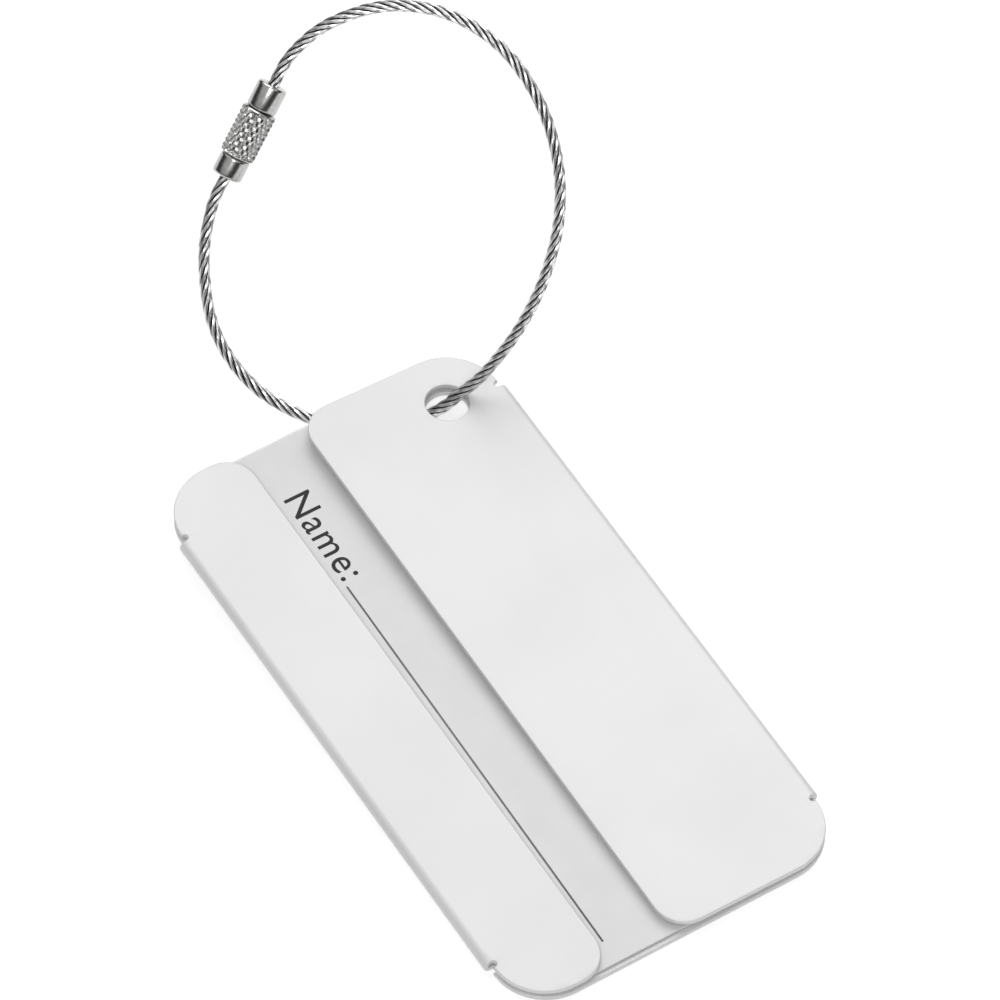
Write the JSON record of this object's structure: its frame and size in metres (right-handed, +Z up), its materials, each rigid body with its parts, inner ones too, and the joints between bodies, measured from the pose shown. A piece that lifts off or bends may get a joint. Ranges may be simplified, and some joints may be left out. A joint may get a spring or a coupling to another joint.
{
  "type": "luggage tag",
  "caption": "Flat folded aluminium luggage tag with a slide-in name card, hung on a stainless wire loop closed by a screw lock.",
  "frame": {"origin": "below the middle of the folded holder, on the surface that the tag lies on", "axes": "+Z up, +Y along the tag's long axis towards its hole and wire loop, +X across the tag towards the wide flap's fold"},
  "size_m": [0.0594, 0.1133, 0.0429],
  "materials": {
    "holder_aluminium": "satin silver anodised",
    "card_paper": "matt coated card with printed writing lines",
    "wire_steel": "bright stranded stainless wire",
    "lock_steel": "polished nickel-plated turned parts"
  },
  "bodies": {
    "holder": {"holder_sheet": "holder_aluminium"},
    "card": {"name_card": "card_paper"},
    "loop": {"cable": "wire_steel", "swivel_ferrule": "lock_steel", "swivel_pin": "lock_steel"},
    "nut": {"knurled_nut": "lock_steel"},
    "free_end": {"threaded_ferrule": "lock_steel"}
  },
  "joints": [
    {"name": "card_slide", "type": "slide", "parent": "holder", "child": "card", "axis": [0, -0.9996, -0.0279], "range_m": [0, 0.075]},
    {"name": "loop_swing", "type": "hinge", "parent": "holder", "child": "loop", "pos_m": [0.0154, 0.03615, 0.0032], "axis": [-0.4968, 0.1989, -0.8447], "range_deg": [0, 170]},
    {"name": "nut_spin", "type": "hinge", "parent": "loop", "child": "nut", "pos_m": [0.0026, 0.06586, 0.0244], "axis": [-0.6996, -0.2544, -0.6678], "range_deg": [0, 2880]},
    {"name": "stud_slide", "type": "slide", "parent": "loop", "child": "free_end", "axis": [0.6996, 0.2544, 0.6678], "range_m": [0, 0.0036], "deforming": ["cable"]}
  ],
  "couplings": [
    {"joint": "nut_spin", "follows": "stud_slide", "rad_per_m": 13963}
  ]
}
